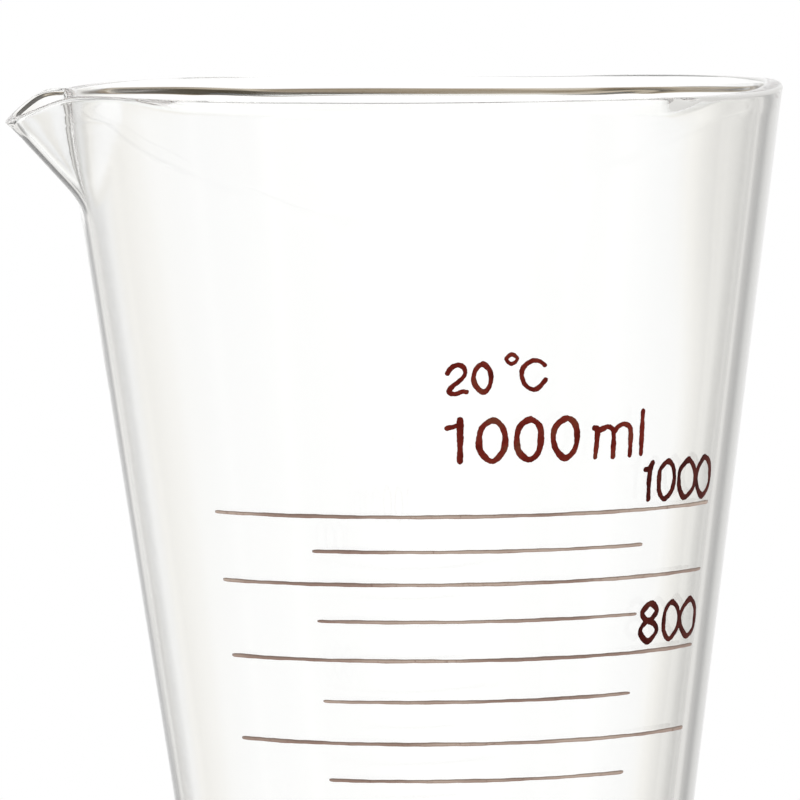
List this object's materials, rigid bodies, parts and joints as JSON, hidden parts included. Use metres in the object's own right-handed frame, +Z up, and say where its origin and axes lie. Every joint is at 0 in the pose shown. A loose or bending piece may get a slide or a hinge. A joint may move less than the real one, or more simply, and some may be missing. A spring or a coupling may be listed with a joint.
{
  "type": "conical measure",
  "caption": "Clear glass conical measuring vessel with a pulled pouring spout, a fired-enamel volume scale and a round fused foot.",
  "frame": {"origin": "centre of the foot's flat underside, on the surface it stands on", "axes": "+Z up along the cone's axis; the spout points to -X and the scale faces -Y"},
  "size_m": [0.1395, 0.1288, 0.33],
  "materials": {
    "body_glass": "clear blown glass, fire-polished lip",
    "foot_glass": "clear pressed glass, ground flat underneath",
    "line_enamel": "thin fired enamel, satin",
    "figure_enamel": "fired red-brown enamel, satin"
  },
  "bodies": {
    "root": {"glass_body": "body_glass", "glass_foot": "foot_glass", "scale_lines_long": "line_enamel", "scale_lines_short": "line_enamel", "scale_number_1000": "figure_enamel", "scale_number_800": "figure_enamel", "scale_number_500": "figure_enamel", "scale_number_300": "figure_enamel", "scale_number_100": "figure_enamel", "capacity_mark": "figure_enamel", "temperature_mark": "figure_enamel"}
  },
  "joints": []
}
